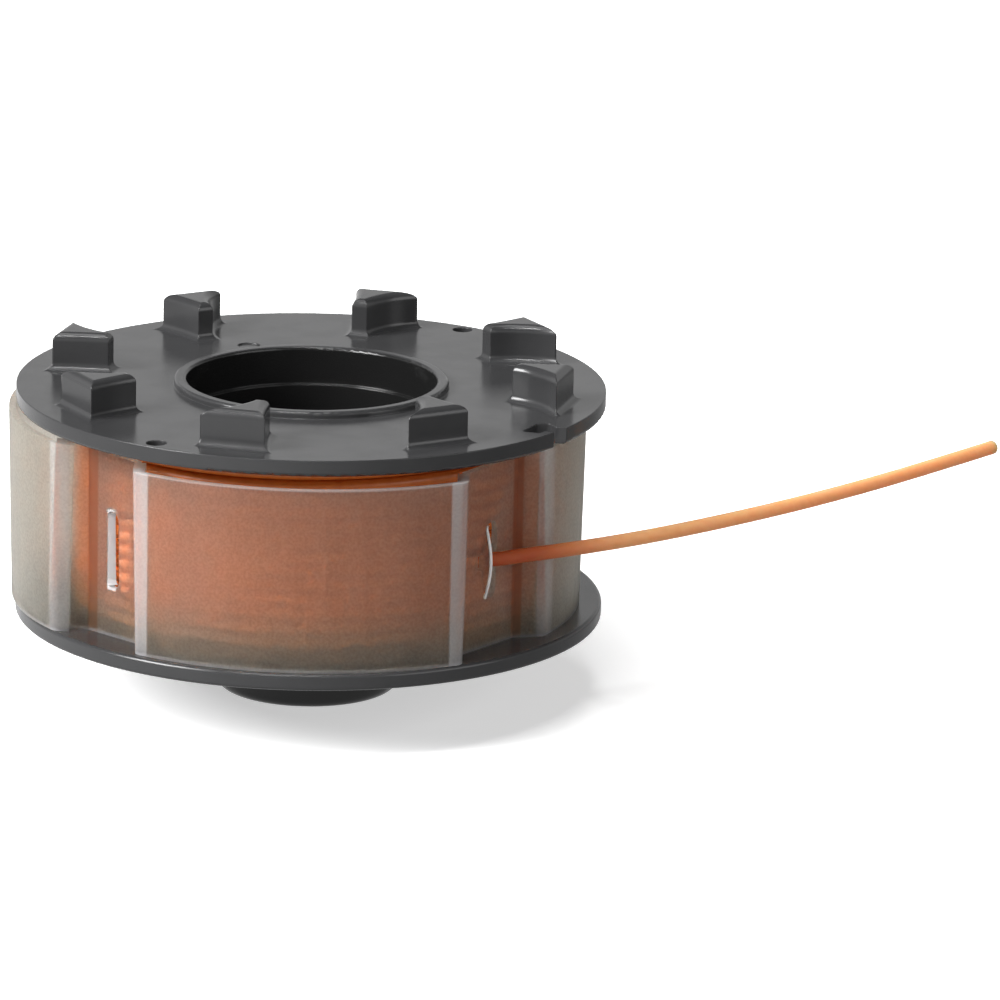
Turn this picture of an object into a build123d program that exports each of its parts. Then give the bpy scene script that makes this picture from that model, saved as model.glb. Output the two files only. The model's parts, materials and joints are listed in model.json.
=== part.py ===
from build123d import *

import math
import os

os.makedirs("parts", exist_ok=True)

# Trimmer line spool, in millimetres.
# The origin is the centre of the tap knob's flat foot, and +Z points up to the ratchet lugs.
# Seen from the front, +X is to the right and +Y goes away from the viewer.

# Line, and the plan steps of its free end from the slot to each bend and the bare tip
line_diameter = 1.6
line_height = 20.6
line_clearance = 0.15
line_stub = 3.0
line_rise = 0.82
line_exit_angle = -45.93
line_steps = [
    (0, 0),
    (1.5, 0.2),
    (3.9, 1.8),
    (9.0, 4.6),
    (17.7, 10.35),
    (27.9, 18.9),
    (38.1, 28.7),
    (48.8, 40.55),
    (58.7, 52.7),
]

# Spool: two flanges on a hub tube, with a hollow tap knob below
flange_radius = 33.0
flange_thickness = 1.85
flange_edge_round = 0.4
deck_edge_round = 0.7
winding_gap = 22.3
hub_radius = 15.4
collar_wall = 1.4
ledge_width = 0.5
mouth_depth = 3.5
collar_height = 0.8
collar_edge_round = 0.35
knob_radius = 10.3
knob_wall = 2.0
knob_height = 8.8
knob_edge_round = 1.0
knob_root_fillet = 0.6

# Ratchet lugs: a wide tip near the rim and a narrow root, each from a trailing to a leading side
lug_count = 8
lug_phase = 29.74
lug_height = 4.2
lug_inset = 3.63
lug_length = 6.2
lug_tip_lead = 3.58
lug_tip_trail = -3.79
lug_root_lead = 2.24
lug_root_trail = 0.43
lug_lead_hollow = 0.15
lug_trail_hollow = 0.7
lug_top_round = 0.9
lug_base_fillet = 0.8

# Rim holes, line notch and moulding gate of the upper flange
rim_hole_radius = 1.15
rim_hole_inset = 1.7
rim_hole_angles = (57.9, 239.0)
notch_angle = -32.85
notch_mouth = 2.1
notch_depth = 3.0
notch_tail = 2.0
notch_lip = 1.1
gate_radius = 1.3
gate_depth = 0.15
gate_place = (-7.6, 17.1)

# Winding
winding_inset = 5.5
turn_ridge = 0.35

# Retaining band: a soft moulding with a bay on each side and a slotted recess at each corner.
# It sits a little askew, so its right and left halves have their own places.
# A wall's angle is taken from straight ahead, and a shelf's from straight to its side.
band_slack = 1.55
band_wall = 0.8
band_flare = 0.4
band_fit = 0.2
band_corner_round = 1.1
band_end_wall = 1.3
front_inset = 0.6
front_skew = 0.4
right_inset = 2.5
right_wall_angle = 32.23
right_shelf_angle = 28.8
right_corner_swell = 0.4
right_foot_lift = 1.1
right_fold_angle = -36.0
left_inset = -0.4
left_wall_angle = 33.68
left_shelf_angle = 32.75
left_corner_swell = -0.5
left_foot_lift = 0.3
left_fold_lift = 0.8
left_fold_angle = -144.2
left_lip = 0.9
left_return = 1.64
rib_depth = 2.4
right_rib = 1.15
left_rib = 1.95
slot_length = 8.8
slot_width = 2.0

# Radii and levels that follow from these
mouth_radius = hub_radius - collar_wall
bore_radius = mouth_radius - ledge_width
winding_radius = flange_radius - winding_inset
lug_reach = flange_radius - lug_inset
lug_root = lug_reach - lug_length
lower_flange_top = knob_height + flange_thickness
upper_flange_base = lower_flange_top + winding_gap
deck = upper_flange_base + flange_thickness
collar_top = deck + collar_height
ledge = deck - mouth_depth


def polar(radius, degrees):
    """A plan point from its distance to the axis and its direction."""
    turn = math.radians(degrees)
    return (radius * math.cos(turn), radius * math.sin(turn))


def front_of(radius, x):
    """The point at x on the front half of a circle about the axis."""
    return (x, -math.sqrt(radius**2 - x**2))


def bowed(start, end, depth):
    """The middle of a hollow face, set in by its depth on the left of its chord."""
    chord = Vector(*end) - Vector(*start)
    inward = Vector(-chord.Y, chord.X).normalized()
    return (Vector(*start) + Vector(*end)) * 0.5 + inward * depth


def nearest(vertices, points):
    """The vertices that lie on the given plan points and on their mirror images to the rear."""
    wanted = [Vector(x, y * side) for x, y in points for side in (1, -1)]
    return vertices.filter_by(lambda v: min((Vector(v.X, v.Y) - w).length for w in wanted) < 0.01)


# Plan of one ratchet lug, with sharp upright corners
tip_lead = (lug_reach, lug_tip_lead)
tip_trail = (lug_reach, lug_tip_trail)
root_lead = (lug_root, lug_root_lead)
root_trail = (lug_root, lug_root_trail)
with BuildSketch() as lug_plan:
    with BuildLine():
        Line(tip_trail, tip_lead)
        ThreePointArc(tip_lead, bowed(tip_lead, root_lead, lug_lead_hollow), root_lead)
        Line(root_lead, root_trail)
        ThreePointArc(root_trail, bowed(root_trail, tip_trail, lug_trail_hollow), tip_trail)
    make_face()

# One ratchet lug on a patch of the deck, with a flared base and a rounded top
with BuildPart() as lug:
    with BuildSketch(Plane.XY.offset(deck)):
        with Locations((lug_reach - lug_length / 2, 0)):
            Rectangle(lug_length + 3 * lug_base_fillet, 2 * lug_tip_lead + 4 * lug_base_fillet)
    extrude(amount=-flange_thickness / 2)
    with BuildSketch(Plane.XY.offset(deck)):
        add(lug_plan.sketch)
    extrude(amount=lug_height)
    lug_foot = lug.edges(Select.LAST).filter_by_position(Axis.Z, deck - 0.01, deck + 0.01)
    fillet(lug_foot, lug_base_fillet)
    fillet(lug.edges().group_by(Axis.Z)[-1], lug_top_round)

# Plan of the comma-shaped notch: a mouth at the rim, a rounded heel and a tail behind a thin lip
notch_half = math.degrees(notch_mouth / 2 / flange_radius)
notch_front = notch_angle - notch_half
notch_back = notch_angle + notch_half
notch_end = notch_front - math.degrees(notch_tail / flange_radius)
notch_floor = flange_radius - notch_depth
with BuildSketch() as notch_plan:
    with BuildLine():
        Polyline(
            polar(flange_radius + notch_lip, notch_front),
            polar(flange_radius - notch_lip, notch_front),
            polar(flange_radius - notch_lip, (notch_front + 2 * notch_end) / 3),
            polar(notch_floor, notch_end),
            polar(notch_floor - notch_lip / 2, notch_back),
            polar(notch_floor + notch_lip / 2, notch_back + notch_half),
            polar(flange_radius - notch_lip, notch_back),
            polar(flange_radius, notch_back + notch_half / 2),
            polar(flange_radius + notch_lip, notch_back + 2 * notch_half),
            close=True,
        )
    make_face()
    fillet(notch_plan.vertices().sort_by(Axis.Y)[-2:], notch_lip / 2)

# Spool moulding
with BuildPart() as spool:
    with BuildSketch(Plane.XZ) as spool_section:
        with BuildLine():
            Polyline(
                (0, 0),
                (knob_radius, 0),
                (knob_radius, knob_height),
                (flange_radius, knob_height),
                (flange_radius, lower_flange_top),
                (hub_radius, lower_flange_top),
                (hub_radius, upper_flange_base),
                (flange_radius, upper_flange_base),
                (flange_radius, deck),
                (hub_radius, deck),
                (hub_radius, collar_top),
                (mouth_radius, collar_top),
                (mouth_radius, ledge),
                (bore_radius, ledge),
                (bore_radius, lower_flange_top),
                (knob_radius - knob_wall, lower_flange_top),
                (knob_radius - knob_wall, knob_wall),
                (0, knob_wall),
                close=True,
            )
        make_face()
        rim_corners = spool_section.vertices().group_by(Axis.X)[-1].sort_by(Axis.Y)
        fillet(rim_corners[:3], flange_edge_round)
        fillet(rim_corners[3], deck_edge_round)
        fillet(spool_section.vertices().group_by(Axis.Y)[-1], collar_edge_round)
        fillet(spool_section.vertices().group_by(Axis.Y)[0].sort_by(Axis.X)[-1], knob_edge_round)
        knob_root = Vector(knob_radius, knob_height)
        fillet(spool_section.vertices().sort_by_distance(knob_root)[0], knob_root_fillet)
    revolve(axis=Axis.Z)

    # Ring of lugs
    with PolarLocations(0, lug_count, start_angle=lug_phase):
        add(lug.part)

    # Two small holes through the rim, the notch and the round moulding gate
    rim_hole_circle = flange_radius - rim_hole_inset
    with BuildSketch(Plane.XY.offset(deck)):
        with Locations(*[polar(rim_hole_circle, angle) for angle in rim_hole_angles]):
            Circle(rim_hole_radius)
        add(notch_plan.sketch)
    extrude(amount=-flange_thickness, mode=Mode.SUBTRACT)
    with BuildSketch(Plane.XY.offset(deck)):
        with Locations(gate_place):
            Circle(gate_radius)
    extrude(amount=-gate_depth, mode=Mode.SUBTRACT)

# Route of the free line, with an arc at each point as large as its runs allow
line_exit = Vector(*polar(winding_radius + line_rise, line_exit_angle), line_height)
line_route = [line_exit + Vector(x, y) for x, y in line_steps]
line_runs = [end - start for start, end in zip(line_route, line_route[1:])]
line_bends = []
for before, after in zip(line_runs, line_runs[1:]):
    half_turn = math.radians(before.get_angle(after)) / 2
    line_bends.append(0.45 * min(before.length, after.length) / math.tan(half_turn))
print("line bend radii", [round(bend, 1) for bend in line_bends])

# Wound line: ridged turns round the hub, and the last turn's stub that rises into the slot
turns = round(winding_gap / line_diameter)
pitch = winding_gap / turns
groove_radius = winding_radius - turn_ridge
with BuildPart() as line_winding:
    with BuildSketch(Plane.XZ):
        with BuildLine():
            Line((hub_radius, upper_flange_base), (hub_radius, lower_flange_top))
            Line((hub_radius, lower_flange_top), (groove_radius, lower_flange_top))
            for turn in range(turns):
                foot = lower_flange_top + turn * pitch
                heights = [foot, foot + pitch / 3, foot + 2 * pitch / 3, foot + pitch]
                radii = [groove_radius, winding_radius, winding_radius, groove_radius]
                Polyline(*zip(radii, heights))
            Line((groove_radius, upper_flange_base), (hub_radius, upper_flange_base))
        make_face()
    revolve(axis=Axis.Z)
    with BuildSketch(Plane(origin=line_route[0], z_dir=line_runs[0])):
        Circle(line_diameter / 2)
    extrude(amount=-line_stub)

# Plan of the band's outside: bay, end wall, slotted panel on the winding, fold, next bay
band_height = winding_gap - band_slack
right_wall = flange_radius * math.sin(math.radians(right_wall_angle))
right_shelf = flange_radius * math.sin(math.radians(right_shelf_angle))
left_wall = flange_radius * math.sin(math.radians(left_wall_angle))
left_shelf = flange_radius * math.sin(math.radians(left_shelf_angle))
front_reach = flange_radius - front_inset
right_reach = flange_radius - right_inset
left_reach = flange_radius - left_inset
fold_radius = winding_radius + band_fit + band_wall
right_corner_radius = right_reach + right_corner_swell
left_corner_radius = left_reach + left_corner_swell
right_corner = (math.sqrt(right_corner_radius**2 - right_shelf**2), -right_shelf)
right_fold = polar(fold_radius, right_fold_angle)
right_foot = front_of(fold_radius + right_foot_lift, right_wall)
right_front = front_of(front_reach + front_skew, right_wall)
left_front = front_of(front_reach - front_skew, -left_wall)
left_foot = front_of(fold_radius + left_foot_lift, -left_wall)
left_fold = polar(fold_radius + left_fold_lift, left_fold_angle)
left_corner = (-math.sqrt(left_corner_radius**2 - left_shelf**2), -left_shelf)
left_edge = (left_corner[0] + left_return, -left_shelf)
left_step = (left_edge[0], left_lip - left_shelf)
with BuildSketch() as band_plan:
    with BuildLine():
        TangentArc((right_reach, 0), right_corner, tangent=(0, -1))
        Polyline(right_corner, right_fold, right_foot, right_front)
        ThreePointArc(right_front, (0, -front_reach), left_front)
        Polyline(left_front, left_foot, left_fold, left_step, left_edge, left_corner)
        TangentArc((-left_reach, 0), left_corner, tangent=(0, -1))
        mirror(about=Plane.XZ)
    make_face()
    bay_corners = [right_corner, right_front, left_front, left_corner]
    fillet(nearest(band_plan.vertices(), bay_corners), band_corner_round)

# Plan of the band's inside: a wall further in, less the thick end walls and corner ribs of the bays
with BuildSketch() as band_void:
    add(band_plan.sketch)
    offset(amount=-band_wall, kind=Kind.INTERSECTION)
    for near_x, far_x, near_y, far_y in (
        (right_wall, right_wall - band_end_wall, right_foot[1], right_front[1]),
        (-left_wall, band_end_wall - left_wall, left_foot[1], left_front[1]),
        (right_corner[0], right_corner[0] - right_rib, -right_shelf, rib_depth - right_shelf),
        (left_edge[0], left_edge[0] - left_rib, -left_shelf, rib_depth - left_shelf),
    ):
        corners = [(near_x, near_y), (far_x, near_y), (far_x, far_y), (near_x, far_y)]
        for side in (1, -1):
            with BuildLine():
                Polyline(*[(x, y * side) for x, y in corners], close=True)
            make_face(mode=Mode.SUBTRACT)

# Retaining band: flares a little to the top, with an upright slot in each recess panel
flare_angle = math.degrees(math.atan(band_flare / band_height))
with BuildPart() as retaining_band:
    with BuildSketch(Plane.XY.offset(lower_flange_top)):
        add(band_plan.sketch)
    extrude(amount=band_height, taper=-flare_angle)
    with BuildSketch(Plane.XY.offset(lower_flange_top)):
        add(band_void.sketch)
    extrude(amount=band_height, taper=-flare_angle, mode=Mode.SUBTRACT)
    for foot, fold in ((right_foot, right_fold), (left_foot, left_fold)):
        for side in (1, -1):
            start = Vector(foot[0], foot[1] * side)
            end = Vector(fold[0], fold[1] * side)
            middle = (start + end) * 0.5 + Vector(0, 0, line_height)
            across = (end - start).cross(Vector(0, 0, 1))
            with BuildSketch(Plane(origin=middle, x_dir=end - start, z_dir=across)):
                SlotOverall(slot_length, slot_width, rotation=90)
            extrude(amount=2 * band_wall, both=True, mode=Mode.SUBTRACT)

    # The line's own way through its slot, along its first two runs
    for start, run in zip(line_route[:2], line_runs[:2]):
        with BuildSketch(Plane(origin=start, z_dir=run)):
            Circle(line_diameter / 2 + line_clearance)
        extrude(amount=run.length, both=True, mode=Mode.SUBTRACT)

# Free end of the line
with BuildPart() as line_end:
    with BuildLine() as line_path:
        FilletPolyline(*line_route, radius=line_bends)
    with BuildSketch(Plane(origin=line_route[0], z_dir=line_runs[0])):
        Circle(line_diameter / 2)
    sweep(path=line_path.wires()[0])
line_length = line_path.wires()[0].length
line_volume = line_length * math.pi * (line_diameter / 2) ** 2
print("line length", round(line_length, 2), "volume share", round(line_end.part.volume / line_volume, 4))

spool.part.label = "spool"
line_winding.part.label = "line_winding"
retaining_band.part.label = "retaining_band"
line_end.part.label = "line_end"
export_step(spool.part, "parts/spool.step")
export_step(line_winding.part, "parts/line_winding.step")
export_step(retaining_band.part, "parts/retaining_band.step")
export_step(line_end.part, "parts/line_end.step")
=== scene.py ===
import json
import math

import bpy
from mathutils import Matrix, Vector

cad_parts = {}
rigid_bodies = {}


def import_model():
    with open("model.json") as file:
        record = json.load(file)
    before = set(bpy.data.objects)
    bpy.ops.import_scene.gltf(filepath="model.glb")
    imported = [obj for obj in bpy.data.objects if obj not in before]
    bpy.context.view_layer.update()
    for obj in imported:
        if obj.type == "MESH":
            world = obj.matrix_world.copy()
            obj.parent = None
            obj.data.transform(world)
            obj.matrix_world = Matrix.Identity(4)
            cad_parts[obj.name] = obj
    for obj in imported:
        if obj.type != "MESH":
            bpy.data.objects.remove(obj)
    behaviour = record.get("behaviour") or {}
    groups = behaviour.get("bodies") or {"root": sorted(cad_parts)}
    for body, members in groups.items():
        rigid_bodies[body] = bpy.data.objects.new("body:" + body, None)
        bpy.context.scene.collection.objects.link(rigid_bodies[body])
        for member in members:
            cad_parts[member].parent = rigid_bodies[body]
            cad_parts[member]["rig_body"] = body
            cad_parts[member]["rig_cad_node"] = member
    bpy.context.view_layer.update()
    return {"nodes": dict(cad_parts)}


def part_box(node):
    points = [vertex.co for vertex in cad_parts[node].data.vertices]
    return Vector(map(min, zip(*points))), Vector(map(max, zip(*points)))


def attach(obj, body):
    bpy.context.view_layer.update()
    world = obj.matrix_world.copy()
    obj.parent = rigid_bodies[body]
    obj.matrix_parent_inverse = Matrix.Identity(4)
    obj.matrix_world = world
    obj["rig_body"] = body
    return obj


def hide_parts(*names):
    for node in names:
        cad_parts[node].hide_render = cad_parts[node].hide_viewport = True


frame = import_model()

nodes = frame["nodes"]

# Camera: a long lens a little above the spool, rolled by a degree, as a catalogue picture is taken.
# It sees the lug ring from about 15 degrees above, and the line's free end on the right.
camera_place = (0.02136, -0.88759, 0.26464)
camera_tilt = 0.2670
camera_roll = 0.021
bpy.ops.object.camera_add()
camera = bpy.context.object
camera.name = "camera"
camera.matrix_world = (
    Matrix.Translation(camera_place)
    @ Matrix.Rotation(math.pi / 2 - camera_tilt, 4, "X")
    @ Matrix.Rotation(camera_roll, 4, "Z")
)
camera.data.sensor_width = 36
camera.data.lens = 294.9
camera.data.clip_start = 0.05
camera.data.clip_end = 20
bpy.context.scene.camera = camera
bpy.context.scene.view_settings.view_transform = "Standard"


# Free end of the line: 1.6 mm of extruded orange nylon that comes out through the band's right slot.
# It stands away from the spool in one stiff, level bow, and is paler there than on the spool; near the
# band its colour is darkened with painted shadow.
class Wire:
    """One output of a shader node, which can be used in sums."""

    def __init__(self, finish, socket):
        self.finish = finish
        self.socket = socket

    def __add__(self, other):
        return self.finish.maths("ADD", self, other)

    def __radd__(self, other):
        return self.finish.maths("ADD", other, self)

    def __sub__(self, other):
        return self.finish.maths("SUBTRACT", self, other)

    def __rsub__(self, other):
        return self.finish.maths("SUBTRACT", other, self)

    def __mul__(self, other):
        return self.finish.maths("MULTIPLY", self, other)

    def __rmul__(self, other):
        return self.finish.maths("MULTIPLY", other, self)


class Finish:
    """A material, or the studio's air, whose nodes are added one by one round its own shader."""

    def __init__(self, name, fixed, store=bpy.data.materials, shader="Principled BSDF", place="Object"):
        self.look = store.new(name)
        self.look.use_nodes = True
        self.tree = self.look.node_tree
        self.shader = self.tree.nodes[shader]
        self.feed(self.shader, fixed)
        self.place = self.node("ShaderNodeTexCoord", out=place)

    def feed(self, made, inputs):
        """Sets a node's sockets, or links them where the value is another node's output."""
        for key, value in inputs.items():
            if isinstance(value, Wire):
                self.tree.links.new(value.socket, made.inputs[key])
            else:
                made.inputs[key].default_value = value

    def node(self, kind, settings=None, inputs=None, out=0):
        """Adds a node of that type, with its settings set first, and returns one of its outputs."""
        made = self.tree.nodes.new(kind)
        for key, value in (settings or {}).items():
            setattr(made, key, value)
        self.feed(made, inputs or {})
        return Wire(self, made.outputs[out])

    def maths(self, operation, *values):
        """One Math node on those outputs and numbers, in that order."""
        return self.node("ShaderNodeMath", {"operation": operation}, dict(enumerate(values)))

    def axes(self):
        """The place's x, y and z."""
        split = self.node("ShaderNodeSeparateXYZ", inputs={0: self.place})
        return [Wire(self, output) for output in split.socket.node.outputs]

    def grain(self, size, detail=2.0):
        """Noise from 0 to 1 whose lumps are about that size in metres."""
        inputs = {"Vector": self.place, "Scale": 1 / size, "Detail": detail}
        return self.node("ShaderNodeTexNoise", inputs=inputs)

    def rise(self, value, low, high, first=0.0, last=1.0):
        """Goes smoothly from first to last while the value goes from low to high."""
        inputs = {0: value, 1: low, 2: high, 3: first, 4: last}
        return self.node("ShaderNodeMapRange", {"interpolation_type": "SMOOTHSTEP"}, inputs)

    def tint(self, share, first, last):
        """The first colour where the share is 0, and the last where it is 1."""
        # A Mix node's two colours are its sockets 6 and 7, and the mixed colour is its output 2
        inputs = {"Factor": share, 6: first, 7: last}
        return self.node("ShaderNodeMix", {"data_type": "RGBA"}, inputs, out=2)

    def relief(self, height, depth, normal=None):
        """A bump of that depth in metres."""
        inputs = {"Height": height, "Distance": depth}
        if normal:
            inputs["Normal"] = normal
        return self.node("ShaderNodeBump", inputs=inputs)


line_radius = 0.0008
line_points = [
    (0.0197, -0.02035, 0.0206),
    (0.0212, -0.02015, 0.0206),
    (0.0236, -0.01855, 0.0206),
    (0.0287, -0.01575, 0.0206),
    (0.0374, -0.0100, 0.0206),
    (0.0476, -0.00145, 0.0206),
    (0.0578, 0.00835, 0.0206),
    (0.0685, 0.0202, 0.0206),
    (0.0784, 0.03235, 0.0206),
]
line_curve = bpy.data.curves.new("free_line", "CURVE")
line_curve.dimensions = "3D"
line_spline = line_curve.splines.new("NURBS")
line_spline.points.add(len(line_points) - 1)
for point, place in zip(line_spline.points, line_points):
    point.co = (*place, 1)
    point.radius = line_radius
line_spline.order_u = 3
line_spline.use_endpoint_u = True
line_curve.resolution_u = 16
line_curve.bevel_depth = 1
line_curve.bevel_resolution = 6
line_curve.use_fill_caps = True
free_line = bpy.data.objects.new("free_line", line_curve)
bpy.context.scene.collection.objects.link(free_line)
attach(free_line, "root")
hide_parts("line_end")

nylon = Finish("orange_nylon", {
    "Roughness": 0.55,
    "IOR": 1.3,
    "Subsurface Weight": 1.0,
    "Subsurface Radius": (0.0035, 0.002, 0.001),
    "Subsurface Scale": 1.0,
})
# Painted shadow: the line's colour darkens towards the band, where the spool shades it
painted_shadow_orange = (0.33, 0.07, 0.02, 1)
line_orange = nylon.tint(nylon.grain(0.0009, 3.0), (0.74, 0.32, 0.14, 1), (0.78, 0.39, 0.19, 1))
past_painted_shadow = nylon.rise(nylon.axes()[0], 0.024, 0.037)
nylon.feed(nylon.shader, {
    "Base Color": nylon.tint(past_painted_shadow, painted_shadow_orange, line_orange),
    "Normal": nylon.relief(nylon.grain(0.0004), 0.00002),
})
line_curve.materials.append(nylon.look)

# Wound line: the same nylon in even, touching turns between the flanges. Only its outer layer shows,
# under the flange and through the band, and its lowest turns are darkened with painted shade.
winding_low, winding_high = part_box("line_winding")
winding_radius = winding_high.x
winding_height = winding_high.z - winding_low.z
turns = 13
pitch = (winding_height - 2 * line_radius) / turns
line_sides = 10
steps_a_turn = 72
bpy.ops.object.select_all(action="DESELECT")
bpy.ops.mesh.primitive_circle_add(
    vertices=line_sides,
    radius=line_radius,
    location=(winding_radius - line_radius, 0, winding_low.z + line_radius),
    rotation=(math.pi / 2, 0, 0),
)
outer_turns = bpy.context.object
outer_turns.name = "wound_line"
bpy.ops.object.transform_apply(location=True, rotation=True, scale=True)
wind = outer_turns.modifiers.new("wind", "SCREW")
wind.axis = "Z"
wind.iterations = turns
wind.screw_offset = pitch
wind.steps = steps_a_turn
wind.render_steps = steps_a_turn
wind.use_merge_vertices = False
bpy.ops.object.modifier_apply(modifier="wind")
bpy.ops.object.mode_set(mode="EDIT")
bpy.ops.mesh.select_all(action="SELECT")
bpy.ops.mesh.fill_holes(sides=line_sides)
bpy.ops.mesh.normals_make_consistent(inside=False)
bpy.ops.object.mode_set(mode="OBJECT")

# Layers under the outer one, as one ring that reaches from the hub to the grooves between the turns
groove_depth = 1.3 * line_radius
ring_depth = 0.0108
flange_gap = 0.00002
bpy.ops.mesh.primitive_cylinder_add(
    vertices=96,
    radius=winding_radius - groove_depth,
    depth=winding_height - 2 * flange_gap,
    location=(0, 0, (winding_high.z + winding_low.z) / 2),
    end_fill_type="NOTHING",
)
inner_layers = bpy.context.object
bpy.ops.object.transform_apply(location=True, rotation=True, scale=True)
layers = inner_layers.modifiers.new("layers", "SOLIDIFY")
layers.thickness = ring_depth
layers.offset = -1
bpy.ops.object.modifier_apply(modifier="layers")

# Stub of the last turn, which rises from the winding into the band's slot
stub_length = 0.003
stub_end = Vector(line_points[0])
stub_run = (Vector(line_points[1]) - stub_end).normalized()
bpy.ops.mesh.primitive_cylinder_add(vertices=20, radius=line_radius, depth=stub_length)
stub = bpy.context.object
stub.data.transform(
    Matrix.Translation(stub_end - stub_run * stub_length / 2)
    @ stub_run.to_track_quat("Z", "Y").to_matrix().to_4x4()
)
for layer in (inner_layers, stub, outer_turns):
    layer.select_set(True)
bpy.context.view_layer.objects.active = outer_turns
bpy.ops.object.join()
bpy.ops.object.shade_smooth_by_angle(angle=math.radians(40))
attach(outer_turns, "root")
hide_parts("line_winding")

wound = Finish("wound_nylon", {"Roughness": 0.35, "IOR": 1.53})
# Painted shade: the colour darkens towards the lowest turns, by the lower flange
painted_low_shade_orange = (0.24, 0.11, 0.04, 1)
turn_orange = wound.tint(wound.grain(0.0012, 3.0), (0.50, 0.10, 0.012, 1), (0.70, 0.18, 0.03, 1))
above_painted_shade = wound.rise(wound.axes()[2], 0.0108, 0.0172)
wound.feed(wound.shader, {
    "Base Color": wound.tint(above_painted_shade, painted_low_shade_orange, turn_orange),
    "Normal": wound.relief(wound.grain(0.0005), 0.00002),
})
outer_turns.data.materials.append(wound.look)

# Spool: one dark grey moulding of glass-filled nylon, with a fine satin skin from the mould.
# Its edges are a touch rounded, and within the bore its colour is darkened with painted shade.
# Painted shade: within the bore's mouth the colour darkens to near black
bore_shade = 0.01405
bore_edge = 0.0142
bore_painted_shade = (0.008, 0.008, 0.008, 1)
moulding = Finish("spool_moulding", {"IOR": 1.42})
edges = moulding.node("ShaderNodeBevel", {"samples": 6}, {"Radius": 0.00022})
cloud = moulding.grain(0.004, 3.0)
far, near, _ = moulding.axes()
inside = moulding.rise(far * far + near * near, bore_shade**2, bore_edge**2, 1.0, 0.0)
skin_grey = moulding.tint(cloud, (0.027, 0.027, 0.028, 1), (0.034, 0.034, 0.035, 1))
moulding.feed(moulding.shader, {
    "Base Color": moulding.tint(inside, skin_grey, bore_painted_shade),
    "Roughness": moulding.rise(cloud, 0.3, 0.7, 0.19, 0.24),
    "Normal": moulding.relief(moulding.grain(0.0002), 0.000005, edges),
})
spool = nodes["spool"]
spool.data.materials.clear()
spool.data.materials.append(moulding.look)

# Retaining band: a soft, frosted translucent moulding that is snapped round the full spool.
# Its bays stand off the line, and its slotted recesses lie on it.
bpy.ops.object.select_all(action="DESELECT")
band = nodes["retaining_band"].copy()
band.data = nodes["retaining_band"].data.copy()
band.name = "soft_band"
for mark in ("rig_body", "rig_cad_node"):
    if mark in band:
        del band[mark]
band.parent = None
bpy.context.scene.collection.objects.link(band)
band.select_set(True)
bpy.context.view_layer.objects.active = band
bpy.ops.object.mode_set(mode="EDIT")
bpy.ops.mesh.select_all(action="SELECT")
bpy.ops.mesh.remove_doubles(threshold=0.00001)
bpy.ops.mesh.dissolve_limited(angle_limit=math.radians(0.5))
bpy.ops.object.mode_set(mode="OBJECT")

# The soft side bays have crept up against the upper flange
band_low, band_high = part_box("retaining_band")
top_edge = 0.001
side_rise = 0.0009
side_start = 0.020
side_run = 0.009
for vertex in band.data.vertices:
    if vertex.co.z > band_high.z - top_edge:
        share = min(max((abs(vertex.co.x) - side_start) / side_run, 0), 1)
        vertex.co.z += side_rise * share * share * (3 - 2 * share)

# The slots are funnels: the inner edge of their outer side leans in, so that its pale face shows.
# The four panels mirror each other, so each vertex is judged as if it were on the rear right one.
slot_middle = Vector((0.02105, 0.01935, 0.0205))
slot_reach = 0.005
slot_lean = 0.0007
panel_run = Vector((0.7476, -0.6641, 0))
panel_out = Vector((0.6641, 0.7476, 0))
for vertex in band.data.vertices:
    side = Vector((math.copysign(1, vertex.co.x), math.copysign(1, vertex.co.y), 1))
    place = vertex.co * side - slot_middle
    on_outer_side = 0.0004 < place.dot(panel_run) < 0.0013
    on_inner_edge = -0.002 < place.dot(panel_out) < -0.0001
    if on_outer_side and on_inner_edge and abs(place.z) < slot_reach:
        vertex.co -= side * panel_run * slot_lean

# The line has pulled a thin lip of the right slot out over its own start
lip_steps = 16
lip_wall = 0.0001
lip_foot = Vector((0.01990, -0.02085, 0.0163))
lip_bulge = Vector((0.00062, -0.00072, 0))
lip_height = Vector((0, 0, 0.0083))
lip_slot = Vector((0.02130, -0.01963, 0.0163))
root_run = Vector((panel_run.x, -panel_run.y, 0))
root_back = 0.0015
root_bulge = 0.0014


def lip_edge_place(level):
    """A place on the lip's free edge, which bulges outwards at mid height."""
    return lip_foot + lip_height * level + lip_bulge * math.sin(math.pi * level)


def lip_root_place(level):
    """The place on the panel that the lip springs from, which is furthest from the slot at mid height."""
    back = root_back + root_bulge * math.sin(math.pi * level)
    return lip_slot + lip_height * level - root_run * back


bpy.ops.object.select_all(action="DESELECT")
bpy.ops.mesh.primitive_grid_add(x_subdivisions=4, y_subdivisions=lip_steps, size=1)
lip = bpy.context.object
for vertex in lip.data.vertices:
    share = vertex.co.x + 0.5
    level = vertex.co.y + 0.5
    vertex.co = lip_root_place(level).lerp(lip_edge_place(level), share)
wall = lip.modifiers.new("wall", "SOLIDIFY")
wall.thickness = lip_wall
bpy.ops.object.modifier_apply(modifier="wall")

# The lip's free edge, a thin tube given a near-white colour as a painted highlight
edge_curve = bpy.data.curves.new("lip_edge", "CURVE")
edge_curve.dimensions = "3D"
edge_spline = edge_curve.splines.new("POLY")
edge_spline.points.add(lip_steps)
for step, point in enumerate(edge_spline.points):
    point.co = (*lip_edge_place(step / lip_steps), 1)
edge_curve.bevel_depth = 0.00017
edge_curve.use_fill_caps = True
lip_edge = bpy.data.objects.new("lip_edge", edge_curve)
bpy.context.scene.collection.objects.link(lip_edge)
bpy.ops.object.select_all(action="DESELECT")
lip_edge.select_set(True)
bpy.context.view_layer.objects.active = lip_edge
bpy.ops.object.convert(target="MESH")

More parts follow.
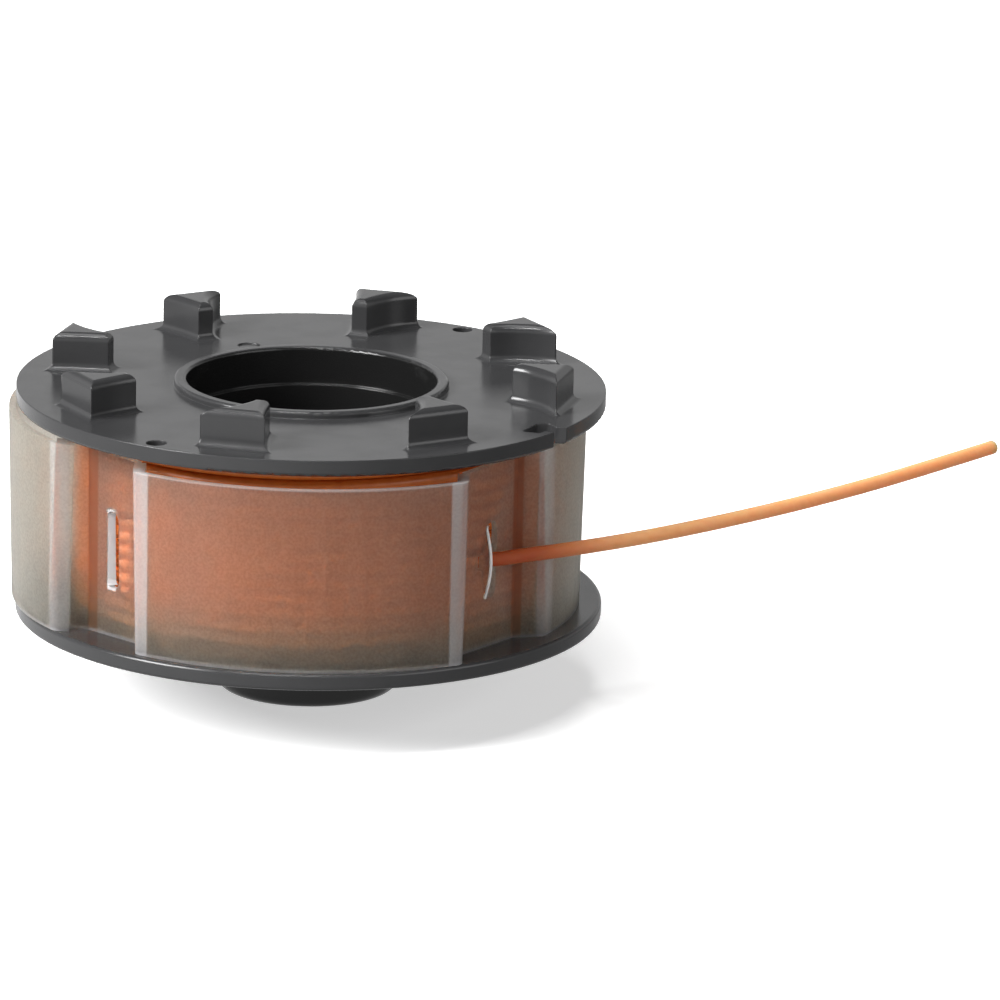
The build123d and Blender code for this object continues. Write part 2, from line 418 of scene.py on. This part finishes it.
rounding = band.modifiers.new("rounding", "BEVEL")
rounding.width = 0.00013
rounding.segments = 2
rounding.limit_method = "ANGLE"
rounding.angle_limit = math.radians(35)
bpy.context.view_layer.objects.active = band
bpy.ops.object.modifier_apply(modifier="rounding")

frosted = Finish("frosted_band", {"Roughness": 0.45, "IOR": 1.2, "Transmission Weight": 0.95})
frost = frosted.grain(0.0003, 3.0)
frost_relief = frosted.relief(frost, 0.00001)

# Its thick end walls, corner ribs, slot edges and rims are milkier than its thin panels
milky = frosted.node("ShaderNodeBsdfPrincipled", inputs={
    "Base Color": (0.52, 0.51, 0.52, 1),
    "Roughness": 0.4,
    "IOR": 1.3,
    "Transmission Weight": 0.3,
    "Normal": frost_relief,
})
left_wall = (-0.0189, -0.0172)
right_wall = (0.0163, 0.0177)
wall_depth = (0.0245, 0.0255)
left_rib = (-0.0280, -0.0262)
right_rib = (0.0258, 0.0272)
rib_depth = (0.0140, 0.0190)
funnel_width = (-0.0217, -0.0205)
funnel_depth = (0.0170, 0.0200)
funnel_height = (0.0161, 0.0251)
foot_rim = (band_low.z + 0.0004, band_low.z + 0.0002)
top_rim = (band_high.z - 0.0002, band_high.z - 0.0001)
front_bay = (-0.018, 0.018)
fold = (0.0230, 0.0238)
across, deep, up = frosted.axes()
across_size = frosted.maths("ABSOLUTE", across)
deep_size = frosted.maths("ABSOLUTE", deep)


def within(value, low, high, soft):
    """1 between low and high, and 0 outside, with a soft change over that length."""
    return frosted.rise(value, low - soft, low) * (1 - frosted.rise(value, high, high + soft))


end_walls = within(across, *left_wall, 0.0004) + within(across, *right_wall, 0.0003)
end_walls = end_walls * frosted.rise(deep_size, *wall_depth)
ribs = within(across, *left_rib, 0.0004) + within(across, *right_rib, 0.0003)
ribs = ribs * within(deep_size, *rib_depth, 0.0004)
funnels = within(across, *funnel_width, 0.00005) * within(up, *funnel_height, 0.0002)
funnels = funnels * within(deep_size, *funnel_depth, 0.0002)
rims = frosted.rise(up, *top_rim) * within(across, *front_bay, 0.001)
rims = frosted.rise(up, *foot_rim) + rims
folds = within(across_size, *fold, 0.0003)
fold_brown = (0.56, 0.41, 0.31, 1)
clouded = frosted.rise(frost, 0.3, 0.7)
panel_white = frosted.tint(clouded, (0.60, 0.575, 0.515, 1), (0.80, 0.775, 0.70, 1))
frosted.feed(frosted.shader, {
    "Base Color": frosted.tint(folds, panel_white, fold_brown),
    "Normal": frost_relief,
})
thin_and_thick = frosted.node("ShaderNodeMixShader", inputs={
    0: end_walls * 0.45 + ribs * 0.3 + funnels * 0.95 + rims * 0.3,
    1: Wire(frosted, frosted.shader.outputs[0]),
    2: milky,
})
frosted.feed(frosted.tree.nodes["Material Output"], {"Surface": thin_and_thick})
band.data.materials.clear()
band.data.materials.append(frosted.look)
lip.data.materials.append(frosted.look)
# Painted highlight: the lip's edge gets a near-white finish of its own, whiter than the band
lip_painted_highlight = Finish("lip_painted_highlight", {
    "Base Color": (1.0, 0.95, 0.90, 1),
    "Roughness": 0.35,
    "Subsurface Weight": 0.3,
})
lip_edge.data.materials.append(lip_painted_highlight.look)
for part in (lip, lip_edge, band):
    part.select_set(True)
bpy.ops.object.join()
bpy.ops.object.shade_smooth_by_angle(angle=math.radians(30))
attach(band, "root")
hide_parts("retaining_band")

# Studio: a white floor and background, a soft lamp over the left shoulder, a broad weak one at the
# right, one above, and a narrow one whose glint runs along the edges of the lugs.
# The side towards the camera stays dim, so that the dark plastic keeps its depth.
floor_gap = 0.00002
bpy.ops.object.select_all(action="DESELECT")
bpy.ops.mesh.primitive_plane_add(size=6, location=(0, 0, -floor_gap))
floor = bpy.context.object
floor.name = "floor"
bpy.ops.object.transform_apply(location=True, rotation=True, scale=True)

# The camera sees white paper, and every other ray a dark floor with a glowing painted pool of light,
# brightest at the spool's left
black = (0, 0, 0, 1)
white = (1, 1, 1, 1)
paper = Finish("floor_paper", {"Roughness": 0.9, "Emission Strength": 1.25})
seen = paper.node("ShaderNodeLightPath", out="Is Camera Ray")
sideways = paper.axes()[0]
# Painted light: the floor's glow fades from the spool's left towards its right
fades_left = paper.rise(sideways, -0.18, -0.06, 0.4, 1.0)
fades_right = paper.rise(sideways, -0.15, 0.12, 1.0, 0.13)
painted_floor_light = paper.tint(fades_left * fades_right, black, white)
paper.feed(paper.shader, {
    "Base Color": paper.tint(seen, (0.05, 0.05, 0.05, 1), (0.95, 0.95, 0.95, 1)),
    "Emission Color": paper.tint(seen, painted_floor_light, (0.4, 0.4, 0.4, 1)),
})
floor.data.materials.append(paper.look)


def soft_lamp(name, place, width, height, power):
    """A soft box at a place, turned to the spool."""
    bpy.ops.object.light_add(type="AREA", location=place)
    lamp = bpy.context.object
    lamp.name = name
    lamp.data.shape = "RECTANGLE"
    lamp.data.size = width
    lamp.data.size_y = height
    lamp.data.energy = power
    lamp.rotation_euler = (spool_middle - Vector(place)).to_track_quat("-Z", "Y").to_euler()


spool_middle = Vector((0.01, 0, 0.02))
soft_lamp("lamp_front_left", (-0.82, -0.40, 0.62), 0.5, 0.5, 26)
soft_lamp("lamp_front_right", (0.80, -0.55, 0.35), 0.8, 0.6, 3.2)
soft_lamp("lamp_above", (-0.05, 0.1, 0.95), 0.45, 0.3, 2.0)
soft_lamp("lamp_glint", (-0.10, -0.40, 0.90), 0.50, 0.02, 5.0)

# The air glows low down in reflections and through the band, and is white to the camera past the floor
air = Finish("studio_air", {}, bpy.data.worlds, "Background", "Generated")
bpy.context.scene.world = air.look
reflected = air.node("ShaderNodeLightPath", out="Is Glossy Ray")
let_through = air.node("ShaderNodeLightPath", out="Is Transmission Ray")
low_down = air.rise(air.axes()[2], 0.32, 0.5, 1.0, 0.0)
shown = air.maths("MAXIMUM", reflected, let_through) * low_down
pale_air = air.tint(shown, (0.05, 0.05, 0.05, 1), (0.68, 0.68, 0.68, 1))
past_the_floor = air.node("ShaderNodeLightPath", out="Is Camera Ray")
air.feed(air.shader, {"Color": air.tint(past_the_floor, pale_air, white)})
